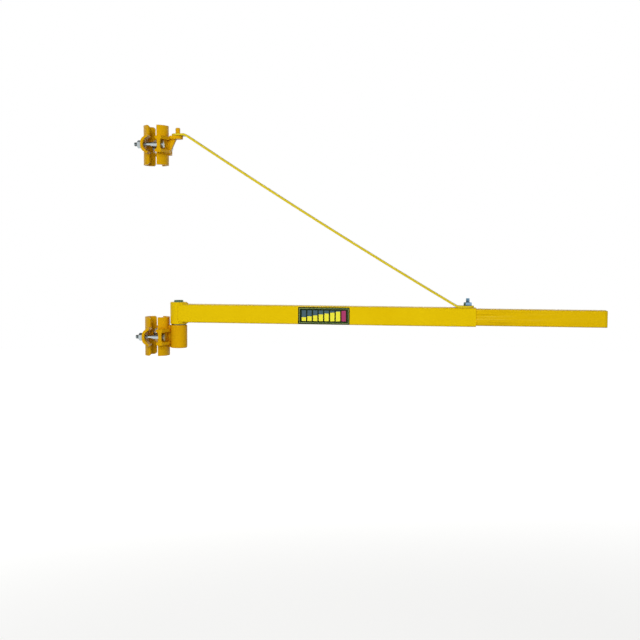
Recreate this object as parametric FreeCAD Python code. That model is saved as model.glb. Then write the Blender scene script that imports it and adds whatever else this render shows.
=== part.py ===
import FreeCAD, Part
import math
import os

os.makedirs("parts", exist_ok=True)

V = FreeCAD.Vector

# Telescopic arm on two pipe clamps. Millimetres; the origin is on the pipe axis at half height
# of the lower clamp, +Z runs up the pipe and +X out along the arm.

# Clamps, two alike, one above the other
PIPE_D = 48.3
SEAT_PLAY = 0.35
CLAMP_SPACING = 475.0
SADDLE_WALL = 7.0
SADDLE_HEIGHT = 97.0
SADDLE_HALF_ANGLE = 71.0

# Ears behind each saddle: a web between two flanges, which stand out on both sides of it
EAR_BACK_X = 12.0
EAR_INSET = 5.0
EAR_PLATE = 8.0
EAR_HEIGHT = 40.0
EAR_SPAN = 100.0
EAR_DEPTH = 26.0
EAR_TIP_DEPTH = 15.0
EAR_BEND = 3.0

# Pressed counter plate on the other side of the pipe
COUNTER_PLATE = 6.0
COUNTER_HALF_ANGLE = 71.0
COUNTER_WING_CHAMFER = 5.0
COUNTER_RIDGE = 0.5
COUNTER_RIDGE_HEIGHT = 22.0
COUNTER_LIP_HEIGHT = 43.0
COUNTER_BEND = 13.0
COUNTER_STEP = 6.0
COUNTER_STEP_RUN = 9.0
COUNTER_LAND_EDGE = 1.0
COUNTER_TIP_HEIGHT = 30.0
COUNTER_TIP_ROUNDING = 6.0

# Clamp bolts and the clamp screw
BOLT_D = 10.0
BOLT_INSET = 14.0
BOLT_HOLE_PLAY = 0.5
BOLT_HEAD_HEIGHT = 6.5
BOLT_END = 8.5
HEX_FLATS = 17.0
NUT_HEIGHT = 8.0
NUT_PLAY = 0.1
WASHER_D = 20.0
WASHER_THICK = 2.0
THREAD_END_ROUNDING = 1.0

# Hinge at the lower clamp
WEB_PLATE = 10.0
SOCKET_D = 42.0
SOCKET_HEIGHT = 58.0
SOCKET_FLOOR = 5.0
SOCKET_ROUNDING = 3.0
SOCKET_WEB_INSET = 1.0
HINGE_PIN_D = 23.0
PIN_SEAT_PLAY = 0.05
PIN_RUNNING_PLAY = 0.08
PIN_STAND_OUT = 5.0
THRUST_WASHER_D = 37.0
THRUST_WASHER_THICK = 2.0
THRUST_PLAY = 0.1
SLEEVE_D = 42.0
SLEEVE_HEIGHT = 55.0
SLEEVE_ROUNDING = 1.5
SWING_GAP = 2.0

# Telescopic tubes, square
OUTER_TUBE = 45.0
OUTER_WALL = 2.0
OUTER_REACH = 738.0
TUBE_CORNER = 4.0
SLIDE_PLAY = 0.5
INNER_WALL = 3.0
INNER_LENGTH = 495.0
ARM_REACH = 1044.0
CAP_FLANGE = 5.0
CAP_PLUG = 14.0
CAP_PLAY = 0.3
CAP_ROUNDING = 1.0

# Tie bar, its peg on the upper clamp and its screw on the arm
TIE_WIDTH = 30.0
TIE_THICK = 5.0
TIE_SAG = 6.0
TIE_BEND = 10.0
TIE_EYE_FLAT = 20.0
TIE_FOOT_FLAT = 25.0
TIE_PLAY = 0.1
SCREW_INSET = 20.0
SCREW_STAND_OUT = 10.0
SCREW_BITE_GAP = 0.1
PEG_D = 11.5
PEG_HEIGHT = 20.0
PEG_ROUNDING = 3.0
PEG_EYE_PLAY = 0.5
LUG_PLATE = 8.0
LUG_RISE = 3.5
LUG_WIDTH = 25.0
GUSSET_DROP = 40.0
GUSSET_FOOT = 6.0
GUSSET_FOOT_HEIGHT = 10.0
GUSSET_END_INSET = 4.0

# Gap left for the weld round a curved joint
WELD_GAP = 0.2

# Places worked out from the sizes above
SEAT_R = PIPE_D / 2 + SEAT_PLAY
SADDLE_R = SEAT_R + SADDLE_WALL
EAR_WEB_X = EAR_BACK_X + EAR_INSET
EAR_FACE_X = EAR_WEB_X + EAR_PLATE
EAR_EDGE_X = EAR_BACK_X + EAR_DEPTH
PIVOT_X = SADDLE_R + SWING_GAP + max(OUTER_TUBE, SOCKET_D) / 2
SOCKET_TOP = SOCKET_HEIGHT / 2
SLEEVE_BOTTOM = SOCKET_TOP + THRUST_WASHER_THICK + THRUST_PLAY
SLEEVE_TOP = SLEEVE_BOTTOM + SLEEVE_HEIGHT
TUBE_Z = (SLEEVE_BOTTOM + SLEEVE_TOP) / 2
INNER_TUBE = OUTER_TUBE - 2 * OUTER_WALL - 2 * SLIDE_PLAY
OUTER_END_X = PIVOT_X + OUTER_REACH
SCREW_X = OUTER_END_X - SCREW_INSET
FOOT_BOTTOM = TUBE_Z + OUTER_TUBE / 2
LUG_TOP = CLAMP_SPACING + EAR_HEIGHT / 2 + LUG_RISE
LUG_BOTTOM = LUG_TOP - LUG_PLATE
EYE_BOTTOM = LUG_TOP + TIE_PLAY
COUNTER_BACK_X = -(SEAT_R + COUNTER_PLATE + COUNTER_RIDGE)
COUNTER_SEAT_X = COUNTER_BACK_X + COUNTER_STEP
COUNTER_FRONT_X = -SEAT_R * math.cos(math.radians(COUNTER_HALF_ANGLE))
BOLT_Y = EAR_SPAN / 2 - BOLT_INSET
BOLT_HOLE_R = BOLT_D / 2 + BOLT_HOLE_PLAY


def in_xz(u, v):
    return V(u, 0, v)


def in_xy(u, v):
    return V(u, v, 0)


def in_yz(u, v):
    return V(0, u, v)


def rounded_face(corners, place):
    """Flat face through (u, v, radius) corners, each rounded by its own radius."""
    points = [place(u, v) for u, v, radius in corners]
    starts, middles, ends = [], [], []
    for index, (u, v, radius) in enumerate(corners):
        here = points[index]
        back = (points[index - 1] - here).normalize()
        ahead = (points[(index + 1) % len(points)] - here).normalize()
        half = back.getAngle(ahead) / 2
        inward = (back + ahead).normalize() if radius else V(0, 0, 0)
        starts.append(here + back * (radius / math.tan(half)))
        middles.append(here + inward * (radius / math.sin(half) - radius))
        ends.append(here + ahead * (radius / math.tan(half)))
    edges = []
    for index, (u, v, radius) in enumerate(corners):
        if radius:
            edges.append(Part.Arc(starts[index], middles[index], ends[index]).toShape())
        following = starts[(index + 1) % len(points)]
        if ends[index].distanceToPoint(following) > 1e-6:
            edges.append(Part.LineSegment(ends[index], following).toShape())
    return Part.Face(Part.Wire(edges))


def prism(corners, place, start, along):
    """Rounded face moved to its start and pushed along a vector."""
    face = rounded_face(corners, place)
    face.translate(start)
    return face.extrude(along)


def turned(corners, x):
    """Profile of (radius, height, rounding) corners turned about the vertical axis at x."""
    body = rounded_face(corners, in_xz).revolve(V(0, 0, 0), V(0, 0, 1), 360)
    body.translate(V(x, 0, 0))
    return body


def bent_strip(path, thickness):
    """Corners of a flat strip seen edge-on, folded along a centre line of (u, v, bend) points."""
    steps = []
    for (u0, v0, bend0), (u1, v1, bend1) in zip(path, path[1:]):
        length = math.hypot(u1 - u0, v1 - v0)
        steps.append(((u1 - u0) / length, (v1 - v0) / length))
    sides = []
    for side in (1, -1):
        corners = []
        for index, (u, v, bend) in enumerate(path):
            before = steps[max(index - 1, 0)]
            after = steps[min(index, len(steps) - 1)]
            turn = before[0] * after[1] - before[1] * after[0]
            cosine = before[0] * after[0] + before[1] * after[1]
            offset = side * thickness / 2 / (1 + cosine)
            outside = thickness if turn * side < 0 else 0
            radius = bend + outside if abs(turn) > 1e-9 else 0
            across = before[1] + after[1]
            along = before[0] + after[0]
            corners.append((u - offset * across, v + offset * along, radius))
        sides.append(corners)
    return sides[0] + sides[1][::-1]


def upright_cylinder(radius, x, low, high):
    return Part.makeCylinder(radius, high - low, V(x, 0, low))


def level_cylinder(radius, low_x, high_x, y):
    return Part.makeCylinder(radius, high_x - low_x, V(low_x, y, 0), V(1, 0, 0))


def half_pipe(radius, wall, height, middle_angle, half_angle):
    """Upright sector of a pipe round the origin, open away from its middle angle."""
    shell = Part.makeCylinder(radius + wall, height, V(0, 0, -height / 2), V(0, 0, 1), 2 * half_angle)
    shell.rotate(V(0, 0, 0), V(0, 0, 1), middle_angle - half_angle)
    return shell.cut(upright_cylinder(radius, 0, -height / 2, height / 2))


def square_bar(side, corner, low_x, high_x):
    """Square bar along X with rounded corners, on the axis of the arm."""
    half = side / 2
    corners = [(-half, -half, corner), (half, -half, corner), (half, half, corner), (-half, half, corner)]
    return prism(corners, in_yz, V(low_x, 0, TUBE_Z), V(high_x - low_x, 0, 0))


def hexagon(flats, height):
    """Hexagon block on the ground with the corners of its top face turned off at 30 degrees."""
    corner = flats / math.sqrt(3)
    points = [V(corner * math.cos(k * math.pi / 3), corner * math.sin(k * math.pi / 3), 0) for k in range(7)]
    block = Part.Face(Part.makePolygon(points)).extrude(V(0, 0, height))
    drop = (corner - flats / 2) * math.tan(math.radians(30))
    profile = [(0, 0, 0), (corner, 0, 0), (corner, height - drop, 0), (flats / 2, height, 0), (0, height, 0)]
    return block.common(turned(profile, 0))


def lay_along_x(shape, x, y, direction):
    """Turn a piece that stands on the ground so that it points along +X or -X."""
    shape.rotate(V(0, 0, 0), V(0, 1, 0), 90 * direction)
    shape.translate(V(x, y, 0))
    return shape


def save(name, shape, level=0.0):
    shape = shape.copy()
    shape.translate(V(0, 0, level))
    shape.exportStep("parts/" + name + ".step")


# Ears: flanges and web welded into a channel, coped round the saddle and parted by the hinge's web.
# The flanges run level behind the lug, taper to the tips and are rounded where they face the pipe.
def make_ears(neighbours):
    half = EAR_HEIGHT / 2
    span = EAR_SPAN / 2
    tip = EAR_BACK_X + EAR_TIP_DEPTH
    inside = half - EAR_PLATE
    section = [
        (EAR_BACK_X, -half, EAR_BEND), (EAR_EDGE_X, -half, 0), (EAR_EDGE_X, -inside, 0),
        (EAR_FACE_X, -inside, EAR_BEND), (EAR_FACE_X, inside, EAR_BEND),
        (EAR_EDGE_X, inside, 0), (EAR_EDGE_X, half, 0), (EAR_BACK_X, half, EAR_BEND),
        (EAR_BACK_X, inside, EAR_BEND), (EAR_WEB_X, inside, 0),
        (EAR_WEB_X, -inside, 0), (EAR_BACK_X, -inside, EAR_BEND),
    ]
    channel = prism(section, in_xz, V(0, -span, 0), V(0, EAR_SPAN, 0))
    plan = [
        (EAR_BACK_X, -span, 0), (tip, -span, EAR_BEND), (EAR_EDGE_X, -LUG_WIDTH / 2, EAR_BEND),
        (EAR_EDGE_X, LUG_WIDTH / 2, EAR_BEND), (tip, span, EAR_BEND), (EAR_BACK_X, span, 0),
    ]
    ears = channel.common(prism(plan, in_xy, V(0, 0, -half), V(0, 0, EAR_HEIGHT)))
    ears = ears.cut(upright_cylinder(SADDLE_R + WELD_GAP, 0, -half, half))
    slot = WEB_PLATE + 2 * WELD_GAP
    ears = ears.cut(Part.makeBox(EAR_EDGE_X, slot, EAR_HEIGHT, V(0, -slot / 2, -half)))
    for side in (-1, 1):
        ears = ears.cut(level_cylinder(BOLT_HOLE_R, EAR_WEB_X, EAR_FACE_X, side * BOLT_Y))
    for neighbour in neighbours:
        ears = ears.cut(neighbour)
    return ears


# Counter plate: two half-round wings with a bowed ridge pressed outwards between them. The ridge is
# deep behind the pipe and steps forward on both sides to the lands of the bolts.
def ridge_path(back_x):
    ridge_x = back_x + COUNTER_PLATE / 2
    fold = COUNTER_RIDGE_HEIGHT / 2
    lip = COUNTER_LIP_HEIGHT / 2
    return [
        (COUNTER_FRONT_X, lip, 0), (ridge_x, fold, COUNTER_BEND),
        (ridge_x, -fold, COUNTER_BEND), (COUNTER_FRONT_X, -lip, 0),
    ]


def make_counter_plate():
    half = SADDLE_HEIGHT / 2
    span = EAR_SPAN / 2
    shell_r = SEAT_R + COUNTER_PLATE
    wings = half_pipe(SEAT_R, COUNTER_PLATE, SADDLE_HEIGHT, 180, COUNTER_HALF_ANGLE)
    front_x = COUNTER_FRONT_X
    blunt = COUNTER_WING_CHAMFER
    side_view = [
        (-shell_r, -half, 0), (front_x - blunt, -half, 0), (front_x, -half + blunt, 0),
        (front_x, half - blunt, 0), (front_x - blunt, half, 0), (-shell_r, half, 0),
    ]
    wings = wings.common(prism(side_view, in_xz, V(0, -shell_r, 0), V(0, 2 * shell_r, 0)))
    deep_path = ridge_path(COUNTER_BACK_X)
    wings = wings.cut(prism(deep_path, in_xz, V(0, -shell_r, 0), V(0, 2 * shell_r, 0)))
    deep = bent_strip(deep_path, COUNTER_PLATE)
    shallow = bent_strip(ridge_path(COUNTER_SEAT_X), COUNTER_PLATE)
    land = BOLT_Y - WASHER_D / 2 - COUNTER_LAND_EDGE
    step = land - COUNTER_STEP_RUN
    ridge = prism(deep, in_xz, V(0, -step, 0), V(0, 2 * step, 0))
    for side in (-1, 1):
        deep_end = rounded_face(deep, in_xz).OuterWire
        deep_end.translate(V(0, side * step, 0))
        shallow_end = rounded_face(shallow, in_xz).OuterWire
        shallow_end.translate(V(0, side * land, 0))
        ridge = ridge.fuse(Part.makeLoft([deep_end, shallow_end], True, True))
        ridge = ridge.fuse(prism(shallow, in_xz, V(0, side * land, 0), V(0, side * (span - land), 0)))
    tip = COUNTER_TIP_HEIGHT / 2
    outline = [
        (-span, -tip, COUNTER_TIP_ROUNDING), (-shell_r, -half, 0),
        (shell_r, -half, 0), (span, -tip, COUNTER_TIP_ROUNDING),
        (span, tip, COUNTER_TIP_ROUNDING), (shell_r, half, 0),
        (-shell_r, half, 0), (-span, tip, COUNTER_TIP_ROUNDING),
    ]
    ridge = ridge.common(prism(outline, in_yz, V(COUNTER_BACK_X, 0, 0), V(-COUNTER_BACK_X, 0, 0)))
    plate = ridge.fuse(wings).cut(upright_cylinder(SEAT_R, 0, -half, half))
    for side in (-1, 1):
        plate = plate.cut(level_cylinder(BOLT_HOLE_R, COUNTER_BACK_X, 0, side * BOLT_Y))
    return plate.removeSplitter()


# Clamp bolt: hexagon head in the ear channel, threaded end beyond the counter plate
def make_bolt(y):
    shank_end = COUNTER_SEAT_X - WASHER_THICK - NUT_HEIGHT - BOLT_END
    head = lay_along_x(hexagon(HEX_FLATS, BOLT_HEAD_HEIGHT), EAR_FACE_X, y, 1)
    return head.fuse(level_cylinder(BOLT_D / 2, shank_end, EAR_FACE_X, y)).removeSplitter()


def make_washer(y):
    low = COUNTER_SEAT_X - WASHER_THICK
    disc = level_cylinder(WASHER_D / 2, low, COUNTER_SEAT_X, y)
    return disc.cut(level_cylinder(BOLT_HOLE_R, low, COUNTER_SEAT_X, y))


def make_nut(y):
    seat = COUNTER_SEAT_X - WASHER_THICK
    nut = lay_along_x(hexagon(HEX_FLATS, NUT_HEIGHT), seat, y, -1)
    return nut.cut(level_cylinder(BOLT_D / 2 + NUT_PLAY, seat - NUT_HEIGHT, seat, y))


socket_space = upright_cylinder(SOCKET_D / 2 + WELD_GAP, PIVOT_X, -SOCKET_TOP, SOCKET_TOP)
for clamp, level, neighbours in (("lower", 0.0, [socket_space]), ("upper", CLAMP_SPACING, [])):
    save(clamp + "_saddle", half_pipe(SEAT_R, SADDLE_WALL, SADDLE_HEIGHT, 0, SADDLE_HALF_ANGLE), level)
    save(clamp + "_clamp_ears", make_ears(neighbours), level)
    save(clamp + "_counter_plate", make_counter_plate(), level)
    for side, y in (("front", -BOLT_Y), ("back", BOLT_Y)):
        save(clamp + "_bolt_" + side, make_bolt(y), level)
        save(clamp + "_washer_" + side, make_washer(y), level)
        save(clamp + "_nut_" + side, make_nut(y), level)

# Hinge socket: a blind bush that holds the pin, welded to the saddle by an upright web
saddle_space = upright_cylinder(SADDLE_R + WELD_GAP, 0, -SADDLE_HEIGHT / 2, SADDLE_HEIGHT / 2)
web_height = SOCKET_HEIGHT - 2 * SOCKET_WEB_INSET
web = Part.makeBox(PIVOT_X, WEB_PLATE, web_height, V(0, -WEB_PLATE / 2, -web_height / 2))
save("socket_web", web.cut(saddle_space).cut(socket_space))

pin_r = HINGE_PIN_D / 2
pin_foot = -SOCKET_TOP + SOCKET_FLOOR
socket_bore = pin_r + PIN_SEAT_PLAY
save("hinge_socket", turned([
    (0, -SOCKET_TOP, 0), (SOCKET_D / 2, -SOCKET_TOP, SOCKET_ROUNDING),
    (SOCKET_D / 2, SOCKET_TOP, SOCKET_ROUNDING), (socket_bore, SOCKET_TOP, 0),
    (socket_bore, pin_foot, 0), (0, pin_foot, 0),
], PIVOT_X))

pin_top = SLEEVE_TOP + PIN_STAND_OUT
save("hinge_pin", turned([
    (0, pin_foot, 0), (pin_r, pin_foot, 0), (pin_r, pin_top, SLEEVE_ROUNDING), (0, pin_top, 0),
], PIVOT_X))

running_bore = pin_r + PIN_RUNNING_PLAY
washer_top = SOCKET_TOP + THRUST_WASHER_THICK
save("thrust_washer", turned([
    (running_bore, SOCKET_TOP, 0), (THRUST_WASHER_D / 2, SOCKET_TOP, 0),
    (THRUST_WASHER_D / 2, washer_top, 0), (running_bore, washer_top, 0),
], PIVOT_X))

# Pivot sleeve: turns on the pin and rests on the thrust washer
save("pivot_sleeve", turned([
    (running_bore, SLEEVE_BOTTOM, 0), (SLEEVE_D / 2, SLEEVE_BOTTOM, SLEEVE_ROUNDING),
    (SLEEVE_D / 2, SLEEVE_TOP, SLEEVE_ROUNDING), (running_bore, SLEEVE_TOP, 0),
], PIVOT_X))

# Outer tube: coped to the sleeve, drilled through its top wall for the clamp screw
outer_start = PIVOT_X + SLEEVE_D / 8
outer_bore = OUTER_TUBE - 2 * OUTER_WALL
outer = square_bar(OUTER_TUBE, TUBE_CORNER, outer_start, OUTER_END_X)
outer = outer.cut(square_bar(outer_bore, TUBE_CORNER - OUTER_WALL, outer_start, OUTER_END_X))
outer = outer.cut(upright_cylinder(SLEEVE_D / 2 + WELD_GAP, PIVOT_X, SLEEVE_BOTTOM, SLEEVE_TOP))
outer = outer.cut(upright_cylinder(BOLT_HOLE_R, SCREW_X, TUBE_Z, FOOT_BOTTOM))
save("outer_tube", outer)

# Inner tube: slides in the outer tube and is closed by a pressed-in end cap
inner_end = PIVOT_X + ARM_REACH - CAP_FLANGE
inner_start = inner_end - INNER_LENGTH
inner_bore = INNER_TUBE - 2 * INNER_WALL
inner = square_bar(INNER_TUBE, TUBE_CORNER, inner_start, inner_end)
save("inner_tube", inner.cut(square_bar(inner_bore, TUBE_CORNER / 2, inner_start, inner_end)))

cap = square_bar(INNER_TUBE, TUBE_CORNER, inner_end, inner_end + CAP_FLANGE)
face_edges = [edge for edge in cap.Edges if edge.BoundBox.XMin > inner_end + CAP_FLANGE / 2]
cap = cap.makeFillet(CAP_ROUNDING, face_edges)
plug = square_bar(inner_bore - 2 * CAP_PLAY, TUBE_CORNER / 2, inner_end - CAP_PLUG, inner_end)
save("end_cap", cap.fuse(plug).removeSplitter())

# Tie bar: flat steel with an eye over the peg and a foot under the screw, bent at both ends and
# bowed between them, as it hangs without a load
eye_z = EYE_BOTTOM + TIE_THICK / 2
foot_z = FOOT_BOTTOM + TIE_THICK / 2
round_r = TIE_WIDTH / 2
eye_bend_x = PIVOT_X + TIE_EYE_FLAT
foot_bend_x = SCREW_X - TIE_FOOT_FLAT
half_run = (foot_bend_x - eye_bend_x) / 2
half_span = math.hypot(half_run, (eye_z - foot_z) / 2)
bow_r = (half_span - TIE_BEND) * half_span ** 2 / (2 * TIE_SAG * half_run)
tie_path = [
    (PIVOT_X - round_r, eye_z, 0), (eye_bend_x, eye_z, TIE_BEND),
    (eye_bend_x + half_run, (eye_z + foot_z) / 2 - 2 * TIE_SAG, bow_r),
    (foot_bend_x, foot_z, TIE_BEND), (SCREW_X + round_r, foot_z, 0),
]
tie = prism(bent_strip(tie_path, TIE_THICK), in_xz, V(0, -round_r, 0), V(0, TIE_WIDTH, 0))
plan_from = PIVOT_X - round_r
plan_to = SCREW_X + round_r
tie_plan = [
    (plan_from, -round_r, round_r), (plan_to, -round_r, round_r),
    (plan_to, round_r, round_r), (plan_from, round_r, round_r),
]
tie = tie.common(prism(tie_plan, in_xy, V(0, 0, FOOT_BOTTOM), V(0, 0, EYE_BOTTOM + TIE_THICK - FOOT_BOTTOM)))
tie = tie.cut(upright_cylinder(PEG_D / 2 + PEG_EYE_PLAY, PIVOT_X, EYE_BOTTOM, EYE_BOTTOM + TIE_THICK))
tie = tie.cut(upright_cylinder(BOLT_HOLE_R, SCREW_X, FOOT_BOTTOM, FOOT_BOTTOM + TIE_THICK))
save("tie_bar", tie)

# Clamp screw: holds the tie's foot and bears on the inner tube, locked by a nut
nut_bottom = FOOT_BOTTOM + TIE_THICK
screw_foot = TUBE_Z + INNER_TUBE / 2 + SCREW_BITE_GAP
screw_top = nut_bottom + NUT_HEIGHT + SCREW_STAND_OUT
save("clamp_screw", turned([
    (0, screw_foot, 0), (BOLT_D / 2, screw_foot, 0),
    (BOLT_D / 2, screw_top, THREAD_END_ROUNDING), (0, screw_top, 0),
], SCREW_X))
clamp_nut = hexagon(HEX_FLATS, NUT_HEIGHT)
clamp_nut.translate(V(SCREW_X, 0, nut_bottom))
thread_hole = upright_cylinder(BOLT_D / 2 + NUT_PLAY, SCREW_X, nut_bottom, nut_bottom + NUT_HEIGHT)
save("clamp_nut", clamp_nut.cut(thread_hole))

# Peg lug: a plate on the edge of the upper ears, held up by a gusset, with the peg for the tie's eye
lug = Part.makeBox(PIVOT_X - EAR_EDGE_X, LUG_WIDTH, LUG_PLATE, V(EAR_EDGE_X, -LUG_WIDTH / 2, LUG_BOTTOM))
lug = lug.fuse(upright_cylinder(LUG_WIDTH / 2, PIVOT_X, LUG_BOTTOM, LUG_TOP)).removeSplitter()
lug = lug.cut(upright_cylinder(PEG_D / 2 + PIN_SEAT_PLAY, PIVOT_X, LUG_BOTTOM, LUG_TOP))
save("peg_lug", lug)

gusset_low = LUG_BOTTOM - GUSSET_DROP
gusset = prism([
    (0, gusset_low, 0), (SADDLE_R + GUSSET_FOOT, gusset_low, 0),
    (SADDLE_R + GUSSET_FOOT, gusset_low + GUSSET_FOOT_HEIGHT, 0),
    (PIVOT_X - GUSSET_END_INSET, LUG_BOTTOM, 0), (0, LUG_BOTTOM, 0),
], in_xz, V(0, -WEB_PLATE / 2, 0), V(0, WEB_PLATE, 0))
upper_saddle_space = saddle_space.copy()
upper_saddle_space.translate(V(0, 0, CLAMP_SPACING))
save("lug_gusset", gusset.cut(upper_saddle_space))

peg_top = LUG_TOP + PEG_HEIGHT
save("tie_peg", turned([
    (0, LUG_BOTTOM, 0), (PEG_D / 2, LUG_BOTTOM, 0), (PEG_D / 2, peg_top, PEG_ROUNDING), (0, peg_top, 0),
], PIVOT_X))
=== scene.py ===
import math
import random

import bmesh
import bpy
from mathutils import Matrix, Vector


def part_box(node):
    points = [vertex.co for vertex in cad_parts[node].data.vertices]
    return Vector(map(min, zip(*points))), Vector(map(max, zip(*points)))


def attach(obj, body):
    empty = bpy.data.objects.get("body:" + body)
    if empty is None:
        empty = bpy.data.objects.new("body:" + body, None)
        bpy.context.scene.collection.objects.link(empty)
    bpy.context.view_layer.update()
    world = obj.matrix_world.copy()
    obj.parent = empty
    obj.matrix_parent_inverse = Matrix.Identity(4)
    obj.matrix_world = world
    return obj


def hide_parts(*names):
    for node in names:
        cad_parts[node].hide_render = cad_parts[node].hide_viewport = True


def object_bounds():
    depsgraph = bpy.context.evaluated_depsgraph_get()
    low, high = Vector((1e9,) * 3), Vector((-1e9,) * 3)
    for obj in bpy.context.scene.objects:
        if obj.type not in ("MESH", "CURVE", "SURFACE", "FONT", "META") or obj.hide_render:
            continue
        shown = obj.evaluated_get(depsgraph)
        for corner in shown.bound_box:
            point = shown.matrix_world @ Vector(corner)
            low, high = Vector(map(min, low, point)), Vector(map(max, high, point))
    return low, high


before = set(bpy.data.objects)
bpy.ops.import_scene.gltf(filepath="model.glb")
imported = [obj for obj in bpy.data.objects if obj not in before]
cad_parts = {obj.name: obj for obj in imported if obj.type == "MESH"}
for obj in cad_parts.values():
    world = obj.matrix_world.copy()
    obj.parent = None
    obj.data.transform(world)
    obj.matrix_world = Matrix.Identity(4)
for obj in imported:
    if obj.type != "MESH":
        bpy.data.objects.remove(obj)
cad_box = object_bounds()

# Saddles, ears and counter plates of the two clamps: pressed and cut from hot-rolled steel plate,
# welded together and powder coated in yellow, given as a darker, warmer copy of the arm's coat:
# painted shade for the shade and yellow bounce light that the clamps sit in. The coat hides the
# mill scale and is thin on the sheared edges.
MM = 0.001
PLATE_EDGE = 0.5 * MM
EDGE_SEGMENTS = 2
EDGE_ANGLE = math.radians(40)
SKIN_GAP = 0.005 * MM
TONE_DRIFT = 70 * MM
# Painted shade: the coat's corners and recesses are darkened towards this colour within this reach.
CORNER_SHADE_REACH = 14 * MM
CORNER_SHADE_COLOUR = "D99A2B"
RUB_REACH = 0.9 * MM
RUB_COLOUR = "9A8654"
CHIP = 6 * MM
PEEL = 2 * MM
PEEL_DEPTH = 0.15 * MM
SHEEN_COLOUR = "F2CE5A"

# A Mix node's colour sockets go by number, because their names repeat.
MIX_SHARE = 0
MIX_FIRST = 6
MIX_SECOND = 7
MIX_COLOUR = 2


def linear(code):
    """Linear RGBA of an sRGB hex colour."""
    shares = [int(code[start:start + 2], 16) / 255 for start in (0, 2, 4)]
    return tuple(s / 12.92 if s <= 0.04045 else ((s + 0.055) / 1.055) ** 2.4 for s in shares) + (1.0,)


def add_node(material, kind, settings={}, inputs={}):
    """Adds a node with its properties; each input is a value or the socket that feeds it."""
    node = material.node_tree.nodes.new(kind)
    for name, value in settings.items():
        setattr(node, name, value)
    for name, value in inputs.items():
        if isinstance(value, bpy.types.NodeSocket):
            material.node_tree.links.new(value, node.inputs[name])
        else:
            node.inputs[name].default_value = value
    return node


def new_material(name):
    """Empty node material and the output that its shader goes to."""
    material = bpy.data.materials.new(name)
    material.use_nodes = True
    material.node_tree.nodes.clear()
    return material, add_node(material, "ShaderNodeOutputMaterial")


def powder_coat(name, colour, deep_colour, wear, corner_shade_depth):
    """Baked powder coat on steel: satin, its sheen tinted by the pigment, with a fine orange peel of
    about 2 mm, slow drifts of tone, painted shade that darkens and warms its corners and rubbed
    sheared edges. Wear, from 0 to 1, is how far the edges are rubbed, and the corner shade depth how
    dark the painted shade in the corners goes."""
    material, output = new_material(name)
    place = add_node(material, "ShaderNodeTexCoord").outputs["Object"]
    drift = add_node(material, "ShaderNodeTexNoise", inputs={
        "Vector": place, "Scale": 1 / TONE_DRIFT, "Detail": 3.0, "Roughness": 0.55})
    toned = add_node(material, "ShaderNodeMix", {"data_type": "RGBA"}, {
        MIX_SHARE: drift.outputs["Fac"], MIX_FIRST: linear(colour), MIX_SECOND: linear(deep_colour)})
    # Painted shade: ambient occlusion darkens and warms the coat in corners, recesses and under parts.
    corner = add_node(material, "ShaderNodeAmbientOcclusion", {"samples": 8}, {"Distance": CORNER_SHADE_REACH})
    painted_corner_shade = add_node(material, "ShaderNodeMapRange", inputs={
        "Value": corner.outputs["AO"], "From Min": 0.2, "From Max": 0.85,
        "To Min": corner_shade_depth, "To Max": 0.0})
    shaded = add_node(material, "ShaderNodeMix", {"data_type": "RGBA", "blend_type": "MULTIPLY"}, {
        MIX_SHARE: painted_corner_shade.outputs["Result"], MIX_FIRST: toned.outputs[MIX_COLOUR],
        MIX_SECOND: linear(CORNER_SHADE_COLOUR)})
    rounded = add_node(material, "ShaderNodeBevel", {"samples": 6}, {"Radius": RUB_REACH})
    true_normal = add_node(material, "ShaderNodeNewGeometry").outputs["Normal"]
    likeness = add_node(material, "ShaderNodeVectorMath", {"operation": "DOT_PRODUCT"}, {
        0: rounded.outputs["Normal"], 1: true_normal})
    edge = add_node(material, "ShaderNodeMapRange", inputs={
        "Value": likeness.outputs["Value"], "From Min": 0.97, "From Max": 0.86,
        "To Min": 0.0, "To Max": 1.0})
    chips = add_node(material, "ShaderNodeTexNoise", inputs={
        "Vector": place, "Scale": 1 / CHIP, "Detail": 5.0, "Roughness": 0.7})
    chipped = add_node(material, "ShaderNodeMapRange", inputs={
        "Value": chips.outputs["Fac"], "From Min": 0.66 - 0.2 * wear, "From Max": 0.74 - 0.2 * wear,
        "To Min": 0.0, "To Max": 0.6})
    rubbed = add_node(material, "ShaderNodeMath", {"operation": "MULTIPLY"}, {
        0: edge.outputs["Result"], 1: chipped.outputs["Result"]})
    paint = add_node(material, "ShaderNodeMix", {"data_type": "RGBA"}, {
        MIX_SHARE: rubbed.outputs["Value"], MIX_FIRST: shaded.outputs[MIX_COLOUR],
        MIX_SECOND: linear(RUB_COLOUR)})
    gloss = add_node(material, "ShaderNodeMapRange", inputs={
        "Value": drift.outputs["Fac"], "From Min": 0.3, "From Max": 0.7,
        "To Min": 0.34, "To Max": 0.44})
    peel = add_node(material, "ShaderNodeTexNoise", inputs={
        "Vector": place, "Scale": 1 / PEEL, "Detail": 2.0, "Roughness": 0.5})
    bump = add_node(material, "ShaderNodeBump", inputs={
        "Height": peel.outputs["Fac"], "Strength": 0.12, "Distance": PEEL_DEPTH})
    coat = add_node(material, "ShaderNodeBsdfPrincipled", inputs={
        "Base Color": paint.outputs[MIX_COLOUR], "Roughness": gloss.outputs["Result"], "IOR": 1.5,
        "Specular IOR Level": 0.18, "Specular Tint": linear(SHEEN_COLOUR),
        "Normal": bump.outputs["Normal"]})
    material.node_tree.links.new(coat.outputs["BSDF"], output.inputs["Surface"])
    return material


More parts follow.
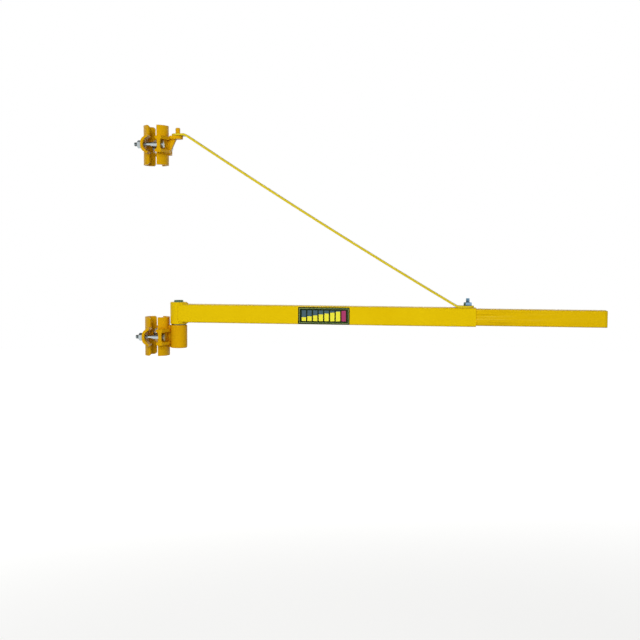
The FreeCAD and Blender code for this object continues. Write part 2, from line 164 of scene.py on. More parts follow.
def finish_node(name, material, edge_width=0.0):
    """Gives a CAD node its finish and, where it is cut from plate, slightly broken edges."""
    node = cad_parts[name]
    for slot in node.material_slots:
        slot.material = material
    if edge_width:
        weld = node.modifiers.new("one skin", "WELD")
        weld.merge_threshold = SKIN_GAP
        bevel = node.modifiers.new("broken edges", "BEVEL")
        bevel.width = edge_width
        bevel.segments = EDGE_SEGMENTS
        bevel.limit_method = "ANGLE"
        bevel.angle_limit = EDGE_ANGLE
        bevel.harden_normals = True


# Painted shade: the clamps' coat is a darker, warmer copy of the arm's yellow.
shaded_bracket_coat = powder_coat("shaded_bracket_yellow_powder_coat", "D8A708", "CC9606", wear=0.2, corner_shade_depth=0.55)
for clamp in ("lower", "upper"):
    for piece in ("saddle", "clamp_ears", "counter_plate"):
        finish_node(clamp + "_" + piece, shaded_bracket_coat, PLATE_EDGE)

# Clamp bolts: M10 hexagon bolts, forged, rolled thread, bright zinc with a blue passivation.
# Their heads lie in the ear channels and their thread ends stand out past the nuts.
BOLT_R = 5 * MM
HEX_FLATS = 17 * MM
HEAD_HEIGHT = 6.5 * MM
HEAD_TOP_R = HEX_FLATS * 0.46
HEAD_CHAMFER = math.radians(30)
THREAD_LENGTH = 32 * MM
THREAD_PITCH = 1.5 * MM
THREAD_DEPTH = 0.9 * MM
THREAD_RUNOUT = 1.5 * MM
THREAD_GAP = 0.1 * MM
POINT_LENGTH = 1.2 * MM
POINT_TAPER = 0.7 * MM
RINGS_PER_TURN = 6
AROUND = 36
MILKY_PATCH = 5 * MM
# Painted shade in the zinc's corners and thread grooves: its reach and its colour.
CREVICE_SHADE_REACH = 6 * MM
CREVICE_SHADE_COLOUR = "2B3138"


def zinc_plate(name, colour, milky_colour):
    """Blue-passivated zinc: a bright metal with milky patches, darkened in its corners by painted shade.
    """
    material, output = new_material(name)
    place = add_node(material, "ShaderNodeTexCoord").outputs["Object"]
    patch = add_node(material, "ShaderNodeTexNoise", inputs={
        "Vector": place, "Scale": 1 / MILKY_PATCH, "Detail": 4.0, "Roughness": 0.6})
    tone = add_node(material, "ShaderNodeMix", {"data_type": "RGBA"}, {
        MIX_SHARE: patch.outputs["Fac"], MIX_FIRST: linear(colour), MIX_SECOND: linear(milky_colour)})
    # Painted shade: ambient occlusion darkens the metal in its corners and thread grooves.
    corner = add_node(material, "ShaderNodeAmbientOcclusion", {"samples": 8}, {"Distance": CREVICE_SHADE_REACH})
    crevice_shade = add_node(material, "ShaderNodeMapRange", inputs={
        "Value": corner.outputs["AO"], "From Min": 0.3, "From Max": 0.9, "To Min": 0.9, "To Max": 0.0})
    shade_darkened = add_node(material, "ShaderNodeMix", {"data_type": "RGBA"}, {
        MIX_SHARE: crevice_shade.outputs["Result"], MIX_FIRST: tone.outputs[MIX_COLOUR],
        MIX_SECOND: linear(CREVICE_SHADE_COLOUR)})
    haze = add_node(material, "ShaderNodeMapRange", inputs={
        "Value": patch.outputs["Fac"], "From Min": 0.3, "From Max": 0.7, "To Min": 0.2, "To Max": 0.34})
    metal = add_node(material, "ShaderNodeBsdfPrincipled", inputs={
        "Base Color": shade_darkened.outputs[MIX_COLOUR], "Metallic": 1.0, "Roughness": haze.outputs["Result"]})
    material.node_tree.links.new(metal.outputs["BSDF"], output.inputs["Surface"])
    return material


def make_piece(name, mesh_maker, material, body, smooth_angle=35):
    """Mesh object from a bmesh, shaded smooth but for its sharp edges, riding on a body."""
    mesh = bpy.data.meshes.new(name)
    mesh_maker.normal_update()
    mesh_maker.to_mesh(mesh)
    mesh_maker.free()
    mesh.shade_smooth()
    mesh.set_sharp_from_angle(angle=math.radians(smooth_angle))
    mesh.materials.append(material)
    piece = bpy.data.objects.new(name, mesh)
    bpy.context.scene.collection.objects.link(piece)
    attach(piece, body)
    return piece


def stack_rings(maker, rings):
    """Skins a list of vertex rings of equal length into a closed tube with capped ends."""
    loops = [[maker.verts.new(point) for point in ring] for ring in rings]
    count = len(loops[0])
    for low, high in zip(loops, loops[1:]):
        for k in range(count):
            maker.faces.new((low[k], low[(k + 1) % count], high[(k + 1) % count], high[k]))
    maker.faces.new(loops[0][::-1])
    maker.faces.new(loops[-1])


def circle_ring(radius, height):
    """Level circle about the Z axis."""
    turns = [2 * math.pi * k / AROUND for k in range(AROUND)]
    return [Vector((radius * math.cos(a), radius * math.sin(a), height)) for a in turns]


def hexagon_ring(height, chamfered):
    """Level hexagon; where it is chamfered, its corners fall back as on a turned bolt head."""
    ring = []
    for k in range(AROUND):
        angle = 2 * math.pi * k / AROUND
        reach = HEX_FLATS / 2 / math.cos((angle + math.pi / 6) % (math.pi / 3) - math.pi / 6)
        fall = (reach - HEX_FLATS / 2) * math.tan(HEAD_CHAMFER) if chamfered else 0.0
        ring.append(Vector((reach * math.cos(angle), reach * math.sin(angle), height + fall)))
    return ring


def thread_rings(radius, start, end, runout):
    """Rings along +Z of a rolled thread, whose ridge climbs one pitch in a turn and fades at both
    ends, with a tapered point."""
    rings = []
    steps = int((end - start) / THREAD_PITCH * RINGS_PER_TURN)
    for row in range(steps + 1):
        height = start + (end - start) * row / steps
        fade = min(1.0, (height - start) / runout, (end - height) / runout)
        taper = POINT_TAPER * max(0.0, 1 - (end - height) / POINT_LENGTH)
        ring = []
        for k in range(AROUND):
            phase = (height / THREAD_PITCH - k / AROUND) % 1.0
            groove = THREAD_DEPTH * (1 - abs(2 * phase - 1)) * fade
            reach = radius - groove - taper
            angle = 2 * math.pi * k / AROUND
            ring.append(Vector((reach * math.cos(angle), reach * math.sin(angle), height)))
        rings.append(ring)
    return rings


zinc = zinc_plate("blue_zinc_plate", "A6B2B6", "D0D8D9")
for clamp in ("lower", "upper"):
    for side in ("front", "back"):
        node_name = clamp + "_bolt_" + side
        low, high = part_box(node_name)
        length = high.x - low.x - HEAD_HEIGHT
        plain_length = length - THREAD_LENGTH
        rings = [
            circle_ring(HEAD_TOP_R, -HEAD_HEIGHT), hexagon_ring(-HEAD_HEIGHT, chamfered=True),
            hexagon_ring(0.0, chamfered=False), circle_ring(BOLT_R, 0.0),
            circle_ring(BOLT_R, plain_length)]
        rings += thread_rings(BOLT_R, plain_length + THREAD_GAP, length, THREAD_RUNOUT)
        maker = bmesh.new()
        stack_rings(maker, rings)
        middle = (low + high) / 2
        seat = Vector((high.x - HEAD_HEIGHT, middle.y, middle.z))
        maker.transform(Matrix.Translation(seat) @ Matrix.Rotation(math.radians(-90), 4, "Y"))
        bolt = make_piece("threaded_" + node_name, maker, zinc, "brackets")
        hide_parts(node_name)

# Washers and nuts behind the counter plates: punched and cold formed steel, zinc-plated like the
# bolts. Each washer lies on a land of the plate and the nut is drawn up on it.
FASTENER_EDGE = 0.25 * MM
for clamp in ("lower", "upper"):
    for side in ("front", "back"):
        finish_node(clamp + "_washer_" + side, zinc, FASTENER_EDGE)
        finish_node(clamp + "_nut_" + side, zinc, FASTENER_EDGE)

# Clamp screw and nut on the arm: an M10 stud screwed down through the tie's foot and locked by a
# nut, both in a deeper blue zinc, the nut in a darker copy of it: painted shade. The free thread
# stands above it.
STUD_RUNOUT = 1.0 * MM
deep_zinc = zinc_plate("deep_blue_zinc_plate", "98CCF0", "CFE9F8")
# Painted shade: the nut's zinc is a darker copy of the stud's.
shaded_nut_zinc = zinc_plate("shaded_blue_zinc_plate", "6890B6", "98B8D4")
finish_node("clamp_nut", shaded_nut_zinc, FASTENER_EDGE)
low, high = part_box("clamp_screw")
middle = (low + high) / 2
maker = bmesh.new()
stack_rings(maker, thread_rings(BOLT_R, low.z, high.z, STUD_RUNOUT))
maker.transform(Matrix.Translation((middle.x, middle.y, 0.0)))
stud = make_piece("threaded_clamp_screw", maker, deep_zinc, "arm")
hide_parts("clamp_screw")

# Hinge: a web and a blind socket welded to the lower saddle, both in the bracket's yellow, with a
# bare turned pin and a thrust washer that keep a dark film of grease.
WASHER_EDGE = 0.2 * MM
PIN_COLOUR = "718F7C"
GREASE_COLOUR = "5A6C57"
GREASE_PATCH = 9 * MM
TOOL_RING = 3.77 * MM
TOOL_RING_DEPTH = 0.05 * MM
WAVE_RING = 2 * math.pi / 20


def turned_steel(name, axis_x):
    """Bare turned steel: a dull grey-green metal under its film of grease, with the rings that the
    tool leaves. They are drawn about 4 mm apart, far coarser than real ones, so that they show. A
    wave pattern of scale 1 has its rings WAVE_RING apart."""
    material, output = new_material(name)
    place = add_node(material, "ShaderNodeTexCoord").outputs["Object"]
    centred = add_node(material, "ShaderNodeMapping", inputs={
        "Vector": place, "Location": (-axis_x, 0, 0)})
    rings = add_node(material, "ShaderNodeTexWave", {"wave_type": "RINGS", "rings_direction": "Z"}, {
        "Vector": centred.outputs["Vector"], "Scale": WAVE_RING / TOOL_RING,
        "Distortion": 0.4, "Detail": 1.0})
    grease = add_node(material, "ShaderNodeTexNoise", inputs={
        "Vector": place, "Scale": 1 / GREASE_PATCH, "Detail": 4.0})
    tone = add_node(material, "ShaderNodeMix", {"data_type": "RGBA"}, {
        MIX_SHARE: grease.outputs["Fac"], MIX_FIRST: linear(PIN_COLOUR),
        MIX_SECOND: linear(GREASE_COLOUR)})
    bump = add_node(material, "ShaderNodeBump", inputs={
        "Height": rings.outputs["Fac"], "Strength": 0.25, "Distance": TOOL_RING_DEPTH})
    steel = add_node(material, "ShaderNodeBsdfPrincipled", inputs={
        "Base Color": tone.outputs[MIX_COLOUR], "Metallic": 1.0, "Roughness": 0.36,
        "Normal": bump.outputs["Normal"]})
    material.node_tree.links.new(steel.outputs["BSDF"], output.inputs["Surface"])
    return material


socket_low, socket_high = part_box("hinge_socket")
pivot_x = (socket_low.x + socket_high.x) / 2
pin_steel = turned_steel("turned_pin_steel", pivot_x)
finish_node("hinge_pin", pin_steel)
finish_node("thrust_washer", pin_steel, WASHER_EDGE)
finish_node("socket_web", shaded_bracket_coat)
finish_node("hinge_socket", shaded_bracket_coat)

# Tie anchor on the upper clamp: lug plate, gusset and a round-topped peg, cut from bar and plate,
# welded to the ears and saddle and coated with them.
LUG_EDGE = 0.6 * MM
finish_node("peg_lug", shaded_bracket_coat, LUG_EDGE)
finish_node("lug_gusset", shaded_bracket_coat, LUG_EDGE)
finish_node("tie_peg", shaded_bracket_coat)

# Arm: drawn steel sleeve and seam-welded square tube, joined by a weld all round. They carry the
# same coat in a lighter, more lemon yellow than the clamps' copy, which is darkened as painted shade.
TUBE_EDGE = 0.3 * MM
arm_coat = powder_coat("arm_yellow_powder_coat", "E2C10A", "DBB705", wear=0.1, corner_shade_depth=0.5)
finish_node("pivot_sleeve", arm_coat)
finish_node("outer_tube", arm_coat, TUBE_EDGE)

# Tie: hot-rolled flat bar, bent at both ends and drilled. Its upper eye sits on the peg and its foot
# lies on the tube under the clamp screw. Its coat is a darker, greener copy of the arm's yellow:
# painted shade.
# Painted shade: the tie's coat is a darker copy of the arm's yellow.
shaded_tie_coat = powder_coat("shaded_tie_yellow_powder_coat", "D8C42C", "CDB824", wear=0.15, corner_shade_depth=0.4)
finish_node("tie_bar", shaded_tie_coat, PLATE_EDGE)

# Weld seams: short runs of gas-shielded weld at the joints of the brackets and where the tube meets
# the sleeve, left as laid and coated over, so their ripples of about 2 mm show in the paint.
# The middle of each seam lies a little outside the corner that it fills.
RIPPLE = 2.2 * MM
RIPPLE_LOW = 0.9
RIPPLE_RISE = 0.14
RIPPLE_STRAY = 0.05
SEAM_STEP = 0.55 * MM
FEWEST_STEPS = 8
SEAM_SIDES = 10
SEAM_SMOOTH = 80
SEAM_END = 2.2 * MM
SEAM_END_SHARE = 0.35
STEEP = 0.9
ARC_STEPS = 24
ripple_draw = random.Random(11)


def weld_seam(name, path, radius, material, body):
    """Rippled seam along a path of points, round in section and tapered at its ends."""
    lengths = [0.0]
    for here, there in zip(path, path[1:]):
        lengths.append(lengths[-1] + (there - here).length)
    total = lengths[-1]
    steps = max(FEWEST_STEPS, int(total / SEAM_STEP))
    turns = [2 * math.pi * k / SEAM_SIDES for k in range(SEAM_SIDES)]
    rings = []
    swell = ripple_draw.uniform(0, RIPPLE)
    for step in range(steps + 1):
        run = total * step / steps
        index = max(k for k in range(len(path) - 1) if lengths[k] <= run + 1e-9)
        share = (run - lengths[index]) / (lengths[index + 1] - lengths[index])
        centre = path[index].lerp(path[index + 1], min(1.0, share))
        ahead = (path[min(index + 2, len(path) - 1)] - path[max(index - 1, 0)]).normalized()
        reference = Vector((0, 0, 1)) if abs(ahead.z) < STEEP else Vector((1, 0, 0))
        aside = ahead.cross(reference).normalized()
        above = aside.cross(ahead)
        wave = 1 - abs(2 * (((run + swell) / RIPPLE) % 1.0) - 1)
        end_taper = min(1.0, SEAM_END_SHARE + min(run, total - run) / SEAM_END)
        ripple = RIPPLE_LOW + RIPPLE_RISE * wave + RIPPLE_STRAY * ripple_draw.random()
        reach = radius * end_taper * ripple
        rings.append([centre + reach * (math.cos(a) * aside + math.sin(a) * above) for a in turns])
    maker = bmesh.new()
    stack_rings(maker, rings)
    seam = make_piece(name, maker, material, body, SEAM_SMOOTH)


def arc_path(centre_x, radius, height, first, last):
    """Points on a level arc; its angles, in degrees, run from the +X direction."""
    turns = [math.radians(first + (last - first) * k / ARC_STEPS) for k in range(ARC_STEPS + 1)]
    return [Vector((centre_x + radius * math.cos(a), radius * math.sin(a), height)) for a in turns]


sleeve_low, sleeve_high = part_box("pivot_sleeve")
tube_low, tube_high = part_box("outer_tube")
sleeve_r = (sleeve_high.x - sleeve_low.x) / 2
SLEEVE_ARC_R = 2.5 * MM
SLEEVE_ARC_TURN = 74
SLEEVE_ARC_LIFT = 0.4 * MM
OFF_SLEEVE = 0.8 * MM
for edge, height in (("top", tube_high.z + SLEEVE_ARC_LIFT), ("bottom", tube_low.z - SLEEVE_ARC_LIFT)):
    seam_path = arc_path(pivot_x, sleeve_r + OFF_SLEEVE, height, -SLEEVE_ARC_TURN, SLEEVE_ARC_TURN)
    weld_seam("sleeve_weld_" + edge, seam_path, SLEEVE_ARC_R, arm_coat, "arm")
SLEEVE_SIDE_R = 2.6 * MM
SLEEVE_SIDE_X = 4.8 * MM
SLEEVE_SIDE_Y = 19.8 * MM
SLEEVE_SIDE_STOP = 2 * MM
for edge, side in (("front", -1), ("back", 1)):
    foot = Vector((pivot_x + SLEEVE_SIDE_X, side * SLEEVE_SIDE_Y, tube_low.z + SLEEVE_SIDE_STOP))
    top = Vector((foot.x, foot.y, tube_high.z - SLEEVE_SIDE_STOP))
    weld_seam("sleeve_weld_" + edge, [foot, top], SLEEVE_SIDE_R, arm_coat, "arm")

saddle_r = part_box("lower_saddle")[1].x
web_low, web_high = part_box("socket_web")
gusset_low, gusset_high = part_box("lug_gusset")
lug_low, lug_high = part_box("peg_lug")
ear_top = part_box("upper_clamp_ears")[1].z
WEB_SEAM_R = 2.3 * MM
LUG_SEAM_R = 2.0 * MM
SEAM_STOP = 1 * MM
GUSSET_STOP = 3 * MM
OFF_WEB = 0.6 * MM
OFF_SADDLE = 0.7 * MM
OFF_SOCKET = 0.4 * MM
UNDER_LUG = 0.5 * MM
saddle_x = saddle_r + OFF_SADDLE
under_z = lug_low.z - UNDER_LUG
for edge, side in (("front", -1), ("back", 1)):
    y = side * (web_high.y + OFF_WEB)
    for joint, x in (("saddle", saddle_x), ("socket", socket_low.x - OFF_SOCKET)):
        ends = [Vector((x, y, web_low.z + SEAM_STOP)), Vector((x, y, web_high.z - SEAM_STOP))]
        weld_seam("web_" + joint + "_weld_" + edge, ends, WEB_SEAM_R, shaded_bracket_coat, "brackets")
    ends = [Vector((saddle_x, y, z)) for z in (gusset_low.z, gusset_high.z - GUSSET_STOP)]
    weld_seam("gusset_saddle_weld_" + edge, ends, WEB_SEAM_R, shaded_bracket_coat, "brackets")
    ends = [Vector((x, y, under_z)) for x in (lug_low.x + SEAM_STOP, gusset_high.x - SEAM_STOP)]
    weld_seam("gusset_lug_weld_" + edge, ends, LUG_SEAM_R, shaded_bracket_coat, "brackets")
EAR_SEAM_R = 2.2 * MM
EAR_SEAM_LIFT = 0.3 * MM
EAR_SEAM_FROM = 14
EAR_SEAM_TO = 64
OFF_EARS = 0.6 * MM
BEHIND_LUG = 0.4 * MM
ear_arc_r = saddle_r + OFF_EARS
ends = [Vector((lug_low.x - BEHIND_LUG, y, ear_top + EAR_SEAM_LIFT)) for y in (lug_low.y, lug_high.y)]
weld_seam("lug_ear_weld", ends, EAR_SEAM_R, shaded_bracket_coat, "brackets")
for clamp in ("lower", "upper"):
    ear_low, ear_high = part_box(clamp + "_clamp_ears")
    for face, height in (("top", ear_high.z + EAR_SEAM_LIFT), ("under", ear_low.z - EAR_SEAM_LIFT)):
        for edge, side in (("front", -1), ("back", 1)):
            seam_name = clamp + "_ear_weld_" + face + "_" + edge
            seam_path = arc_path(0.0, ear_arc_r, height, side * EAR_SEAM_FROM, side * EAR_SEAM_TO)
            weld_seam(seam_name, seam_path, EAR_SEAM_R, shaded_bracket_coat, "brackets")

# Inner tube and end cap: the same coat, a shade deeper, scuffed into fine lengthwise lines where
# the tube has been slid in and out of the arm. The pressed-in cap is darker still: painted shade.
SCUFF_REACH = 190 * MM
SCUFF_LENGTH = 160 * MM
SCUFF_SPACING = 3.5 * MM
PALE_SCUFF_COLOUR = "E8C844"
DARK_SCUFF_COLOUR = "A47F06"


def scuffed_coat(name, colour, deep_colour, mouth_x):
    """Powder coat with pale and dark lengthwise sliding scratches, densest next to the arm's mouth.
    The scratches are drawn about 1.5 mm wide, coarser than real ones, so that they show."""
    material = powder_coat(name, colour, deep_colour, wear=0.2, corner_shade_depth=0.3)
    coat = next(n for n in material.node_tree.nodes if n.type == "BSDF_PRINCIPLED")
    paint = coat.inputs["Base Color"].links[0].from_socket
    place = add_node(material, "ShaderNodeTexCoord").outputs["Object"]
    stretched = add_node(material, "ShaderNodeMapping", inputs={
        "Vector": place, "Scale": (1 / SCUFF_LENGTH, 1 / SCUFF_SPACING, 1 / SCUFF_SPACING)})
    streak = add_node(material, "ShaderNodeTexNoise", inputs={
        "Vector": stretched.outputs["Vector"], "Scale": 1.0, "Detail": 3.0, "Roughness": 0.6})
    line = add_node(material, "ShaderNodeMapRange", inputs={
        "Value": streak.outputs["Fac"], "From Min": 0.57, "From Max": 0.66,
        "To Min": 0.0, "To Max": 1.0})
    dark_line = add_node(material, "ShaderNodeMapRange", inputs={
        "Value": streak.outputs["Fac"], "From Min": 0.46, "From Max": 0.36,
        "To Min": 0.0, "To Max": 1.0})
    along = add_node(material, "ShaderNodeSeparateXYZ", inputs={"Vector": place})
    near = add_node(material, "ShaderNodeMapRange", inputs={
        "Value": along.outputs["X"], "From Min": mouth_x, "From Max": mouth_x + SCUFF_REACH,
        "To Min": 0.55, "To Max": 0.06})
    scuff = add_node(material, "ShaderNodeMath", {"operation": "MULTIPLY"}, {
        0: line.outputs["Result"], 1: near.outputs["Result"]})
    dark_scuff = add_node(material, "ShaderNodeMath", {"operation": "MULTIPLY"}, {
        0: dark_line.outputs["Result"], 1: near.outputs["Result"]})
    pale_marked = add_node(material, "ShaderNodeMix", {"data_type": "RGBA"}, {
        MIX_SHARE: scuff.outputs["Value"], MIX_FIRST: paint, MIX_SECOND: linear(PALE_SCUFF_COLOUR)})
    marked = add_node(material, "ShaderNodeMix", {"data_type": "RGBA"}, {
        MIX_SHARE: dark_scuff.outputs["Value"], MIX_FIRST: pale_marked.outputs[MIX_COLOUR],
        MIX_SECOND: linear(DARK_SCUFF_COLOUR)})
    material.node_tree.links.new(marked.outputs[MIX_COLOUR], coat.inputs["Base Color"])
    return material


inner_coat = scuffed_coat("inner_yellow_powder_coat", "E1BB08", "D4AC06", tube_high.x)
# Painted shade: the cap's coat is a darker copy of the tube's yellow.
shaded_cap_coat = powder_coat("shaded_cap_yellow_powder_coat", "CDAE12", "C2A00C", wear=0.2, corner_shade_depth=0.3)
finish_node("inner_tube", inner_coat, TUBE_EDGE)
finish_node("end_cap", shaded_cap_coat)

# Sticker on the front of the outer tube: a printed film, dark green-black, with a thin frame and a row
# of upright bars that grow towards the arm's end. It has no words and wraps onto the tube's edges.
STICKER_START = 307 * MM
STICKER_LENGTH = 127 * MM
STICKER_HEIGHT = 42 * MM
STICKER_DROP = 0.8 * MM
STICKER_CORNER = 2 * MM
TUBE_CORNER = 4 * MM
FILM = 0.15 * MM
FILM_STRIPS = 40
BAR_COUNT = 8
BAR_PITCH = 14 * MM
BAR_WIDTH = 10.5 * MM
BAR_HEIGHT = 26 * MM
SHORTEST_BAR = 9 * MM
FRAME_INSET = 3.4 * MM
FRAME_WIDTH = 1.0 * MM
HAZE_PATCH = 15 * MM
GROUND_COLOUR = "1A2812"
FRAME_COLOUR = "8FA567"
BAR_HEAD_COLOUR = "47606A"
BAR_FOOT_COLOUR = "EAE43E"
LAST_BAR_COLOUR = "A83C66"


def printed_film(name, centre):
    """Vinyl film under a satin laminate: dark ground, a pale frame line and a row of bars, each a lemon
    foot under a dim head; the feet grow from bar to bar and the last bar is crimson all the way up."""
    material, output = new_material(name)
    place = add_node(material, "ShaderNodeTexCoord").outputs["Object"]
    local = add_node(material, "ShaderNodeMapping", inputs={
        "Vector": place, "Location": tuple(-c for c in centre)})
    parts = add_node(material, "ShaderNodeSeparateXYZ", inputs={"Vector": local.outputs["Vector"]})
    across = add_node(material, "ShaderNodeMath", {"operation": "ABSOLUTE"}, {0: parts.outputs["X"]})
    off_middle = add_node(material, "ShaderNodeMath", {"operation": "ABSOLUTE"}, {
        0: parts.outputs["Z"]})
    end_gap = add_node(material, "ShaderNodeMath", {"operation": "SUBTRACT"}, {
        0: STICKER_LENGTH / 2, 1: across.outputs["Value"]})
    side_gap = add_node(material, "ShaderNodeMath", {"operation": "SUBTRACT"}, {
        0: STICKER_HEIGHT / 2, 1: off_middle.outputs["Value"]})
    edge_gap = add_node(material, "ShaderNodeMath", {"operation": "MINIMUM"}, {
        0: end_gap.outputs["Value"], 1: side_gap.outputs["Value"]})
    frame_line = add_node(material, "ShaderNodeMath", {"operation": "COMPARE"}, {
        0: edge_gap.outputs["Value"], 1: FRAME_INSET, 2: FRAME_WIDTH / 2})
    bar_start = add_node(material, "ShaderNodeMath", {"operation": "SNAP"}, {
        0: parts.outputs["X"], 1: BAR_PITCH})
    within = add_node(material, "ShaderNodeMath", {"operation": "SUBTRACT"}, {
        0: parts.outputs["X"], 1: bar_start.outputs["Value"]})
    in_width = add_node(material, "ShaderNodeMath", {"operation": "COMPARE"}, {
        0: within.outputs["Value"], 1: BAR_PITCH / 2, 2: BAR_WIDTH / 2})
    in_row = add_node(material, "ShaderNodeMath", {"operation": "LESS_THAN"}, {
        0: across.outputs["Value"], 1: BAR_COUNT * BAR_PITCH / 2})
    in_height = add_node(material, "ShaderNodeMath", {"operation": "LESS_THAN"}, {
        0: off_middle.outputs["Value"], 1: BAR_HEIGHT / 2})
    strip = add_node(material, "ShaderNodeMath", {"operation": "MULTIPLY"}, {
        0: in_width.outputs["Value"], 1: in_row.outputs["Value"]})
    bar = add_node(material, "ShaderNodeMath", {"operation": "MULTIPLY"}, {
        0: strip.outputs["Value"], 1: in_height.outputs["Value"]})
    first_start = -BAR_COUNT / 2 * BAR_PITCH
    last_start = (BAR_COUNT / 2 - 1) * BAR_PITCH
    foot_top = add_node(material, "ShaderNodeMapRange", inputs={
        "Value": bar_start.outputs["Value"], "From Min": first_start, "From Max": last_start,
        "To Min": SHORTEST_BAR - BAR_HEIGHT / 2, "To Max": BAR_HEIGHT / 2})
    in_foot = add_node(material, "ShaderNodeMath", {"operation": "LESS_THAN"}, {
        0: parts.outputs["Z"], 1: foot_top.outputs["Result"]})
    is_last = add_node(material, "ShaderNodeMath", {"operation": "COMPARE"}, {
        0: bar_start.outputs["Value"], 1: last_start, 2: BAR_PITCH / 2})
    foot_colour = add_node(material, "ShaderNodeMix", {"data_type": "RGBA"}, {
        MIX_SHARE: is_last.outputs["Value"], MIX_FIRST: linear(BAR_FOOT_COLOUR),
        MIX_SECOND: linear(LAST_BAR_COLOUR)})
    bar_colour = add_node(material, "ShaderNodeMix", {"data_type": "RGBA"}, {
        MIX_SHARE: in_foot.outputs["Value"], MIX_FIRST: linear(BAR_HEAD_COLOUR),
        MIX_SECOND: foot_colour.outputs[MIX_COLOUR]})
    framed = add_node(material, "ShaderNodeMix", {"data_type": "RGBA"}, {
        MIX_SHARE: frame_line.outputs["Value"], MIX_FIRST: linear(GROUND_COLOUR),
        MIX_SECOND: linear(FRAME_COLOUR)})
    print_layer = add_node(material, "ShaderNodeMix", {"data_type": "RGBA"}, {
        MIX_SHARE: bar.outputs["Value"], MIX_FIRST: framed.outputs[MIX_COLOUR],
        MIX_SECOND: bar_colour.outputs[MIX_COLOUR]})
    haze = add_node(material, "ShaderNodeTexNoise", inputs={
        "Vector": place, "Scale": 1 / HAZE_PATCH, "Detail": 3.0})
    gloss = add_node(material, "ShaderNodeMapRange", inputs={
        "Value": haze.outputs["Fac"], "From Min": 0.3, "From Max": 0.7, "To Min": 0.3, "To Max": 0.42})
    film = add_node(material, "ShaderNodeBsdfPrincipled", inputs={
        "Base Color": print_layer.outputs[MIX_COLOUR], "Roughness": gloss.outputs["Result"],
        "IOR": 1.5, "Specular IOR Level": 0.06})
    material.node_tree.links.new(film.outputs["BSDF"], output.inputs["Surface"])
    return material


sticker_x = pivot_x + STICKER_START + STICKER_LENGTH / 2
tube_z = (tube_low.z + tube_high.z) / 2
sticker_centre = Vector((sticker_x, tube_low.y, tube_z - STICKER_DROP))
flat_half = (tube_high.z - tube_low.z) / 2 - TUBE_CORNER
rows = []
for k in range(FILM_STRIPS + 1):
    up = STICKER_HEIGHT * (k / FILM_STRIPS - 0.5)
    past_flat = max(0.0, abs(up - STICKER_DROP) - flat_half)
    sink = TUBE_CORNER - math.sqrt(TUBE_CORNER ** 2 - past_flat ** 2)
    past_corner = max(0.0, abs(up) - STICKER_HEIGHT / 2 + STICKER_CORNER)
    half = STICKER_LENGTH / 2 - STICKER_CORNER + math.sqrt(STICKER_CORNER ** 2 - past_corner ** 2)
    aside = Vector((half, 0, 0))
    back = sticker_centre + Vector((0, sink, up))
    front = back - Vector((0, FILM, 0))
    rows.append([front - aside, front + aside, back + aside, back - aside])
maker = bmesh.new()
stack_rings(maker, rows)
make_piece("front_sticker", maker, printed_film("printed_vinyl_film", sticker_centre), "arm")

# Studio: a pale paper floor well below the arm, which glows where it is seen and so runs out into an
# even white surround. The gloss shows the white room and its dark ceiling, which gives nuts and bolts
# their dark facets.
FLOOR_X = 0.5
FLOOR_DROP = 0.85
FLOOR_R = 9.0
FLOOR_SIDES = 64
NEAR_FLOOR = 0.6
FAR_FLOOR = 4.0
NEAR_GLOW = 0.62
PAPER_COLOUR = "A2A2A0"
SURROUND_LIGHT = 0.2
CEILING_LIGHT = 0.12
CEILING_FROM = math.sin(math.radians(20))
CEILING_TO = math.sin(math.radians(64))
WHITE = (1, 1, 1, 1)


def seen_share(material):
    """Socket that is 1 for what is seen straight, mirrored or through glass, and 0 for spread light."""
    ray = add_node(material, "ShaderNodeLightPath")
    mirrored = add_node(material, "ShaderNodeMath", {"operation": "MAXIMUM"}, {
        0: ray.outputs["Is Camera Ray"], 1: ray.outputs["Is Glossy Ray"]})
    seen = add_node(material, "ShaderNodeMath", {"operation": "MAXIMUM"}, {
        0: mirrored.outputs["Value"], 1: ray.outputs["Is Transmission Ray"]})
    return seen.outputs["Value"]


maker = bmesh.new()
bmesh.ops.create_circle(maker, cap_ends=True, segments=FLOOR_SIDES, radius=FLOOR_R)
floor_mesh = bpy.data.meshes.new("studio_floor")
maker.to_mesh(floor_mesh)
maker.free()
floor = bpy.data.objects.new("studio_floor", floor_mesh)
floor.location = (FLOOR_X, 0.0, cad_box[0][2] - FLOOR_DROP)
bpy.context.scene.collection.objects.link(floor)

floor_paper, floor_output = new_material("pale_studio_paper")
floor_seen = seen_share(floor_paper)
floor_place = add_node(floor_paper, "ShaderNodeTexCoord").outputs["Object"]
away = add_node(floor_paper, "ShaderNodeVectorMath", {"operation": "LENGTH"}, {0: floor_place})
far_share = add_node(floor_paper, "ShaderNodeMapRange", {"interpolation_type": "SMOOTHSTEP"}, {
    "Value": away.outputs["Value"], "From Min": NEAR_FLOOR, "From Max": FAR_FLOOR,
    "To Min": NEAR_GLOW, "To Max": 1.0})
glow_level = add_node(floor_paper, "ShaderNodeMath", {"operation": "MULTIPLY"}, {
    0: floor_seen, 1: far_share.outputs["Result"]})
paper = add_node(floor_paper, "ShaderNodeBsdfDiffuse", inputs={"Color": linear(PAPER_COLOUR)})
glow = add_node(floor_paper, "ShaderNodeEmission", inputs={
    "Color": WHITE, "Strength": glow_level.outputs["Value"]})
glowing_paper = add_node(floor_paper, "ShaderNodeAddShader", inputs={
    0: paper.outputs["BSDF"], 1: glow.outputs["Emission"]})
floor_paper.node_tree.links.new(glowing_paper.outputs["Shader"], floor_output.inputs["Surface"])
floor_mesh.materials.append(floor_paper)

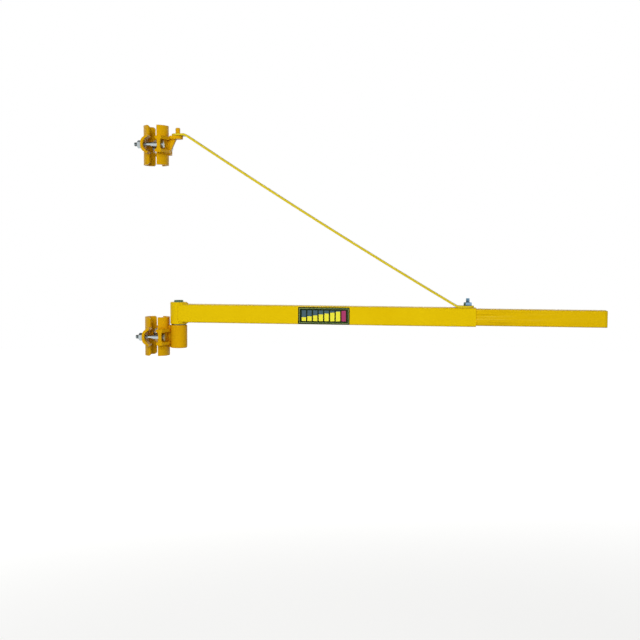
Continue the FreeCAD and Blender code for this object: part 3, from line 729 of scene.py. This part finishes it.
world = bpy.data.worlds.new("studio_surround")
world.use_nodes = True
world.node_tree.nodes.clear()
bpy.context.scene.world = world
world_seen = seen_share(world)
straight = add_node(world, "ShaderNodeLightPath").outputs["Is Camera Ray"]
outward = add_node(world, "ShaderNodeTexCoord").outputs["Generated"]
rise = add_node(world, "ShaderNodeSeparateXYZ", inputs={"Vector": outward})
ceiling = add_node(world, "ShaderNodeMapRange", {"interpolation_type": "SMOOTHSTEP"}, {
    "Value": rise.outputs["Z"], "From Min": CEILING_FROM, "From Max": CEILING_TO,
    "To Min": 1.0, "To Max": CEILING_LIGHT})
white_room = add_node(world, "ShaderNodeMath", {"operation": "MAXIMUM"}, {
    0: ceiling.outputs["Result"], 1: straight})
world_level = add_node(world, "ShaderNodeMapRange", inputs={
    "Value": world_seen, "To Min": SURROUND_LIGHT, "To Max": white_room.outputs["Value"]})
surround = add_node(world, "ShaderNodeBackground", inputs={
    "Color": WHITE, "Strength": world_level.outputs["Result"]})
add_node(world, "ShaderNodeOutputWorld", inputs={"Surface": surround.outputs["Background"]})

# Softboxes: a key from the front left, a weak fill from the right and two softer lights from behind.
# They stay out of reflections, so that the gloss shows only the room.
AIM = Vector((0.5, 0.0, 0.22))
SOFTBOX_SIZE = 1.6
for name, place, power in (
        ("key_softbox", Vector((0.15, -2.7, 0.8)), 66.0),
        ("fill_softbox", Vector((3.0, -1.0, 0.8)), 14.0),
        ("back_softbox", Vector((0.3, 2.9, 0.9)), 38.0),
        ("rear_left_softbox", Vector((-2.2, 1.7, 0.9)), 30.0)):
    lamp = bpy.data.lights.new(name, "AREA")
    lamp.shape = "SQUARE"
    lamp.size = SOFTBOX_SIZE
    lamp.energy = power
    softbox = bpy.data.objects.new(name, lamp)
    softbox.location = place
    softbox.visible_glossy = False
    softbox.rotation_euler = (AIM - place).to_track_quat("-Z", "Y").to_euler()
    bpy.context.scene.collection.objects.link(softbox)

# Camera: between the arm and the upper clamp in height, to the right of the arm's middle and turned
# a little left and down.
CAMERA_PLACE = Vector((0.7226, -2.3362, 0.2155))
YAW = math.radians(7.516)
PITCH = math.radians(-4.116)
ROLL = math.radians(0.309)
LOOK_LEVEL = math.radians(90)
camera_data = bpy.data.cameras.new("camera")
camera_data.sensor_width = 36.0
camera_data.lens = 53.85
camera_data.clip_end = 100.0
camera = bpy.data.objects.new("camera", camera_data)
camera.matrix_world = (
    Matrix.Translation(CAMERA_PLACE) @ Matrix.Rotation(YAW, 4, "Z")
    @ Matrix.Rotation(LOOK_LEVEL + PITCH, 4, "X") @ Matrix.Rotation(ROLL, 4, "Z"))
bpy.context.scene.collection.objects.link(camera)
bpy.context.scene.camera = camera
bpy.context.scene.view_settings.view_transform = "Standard"
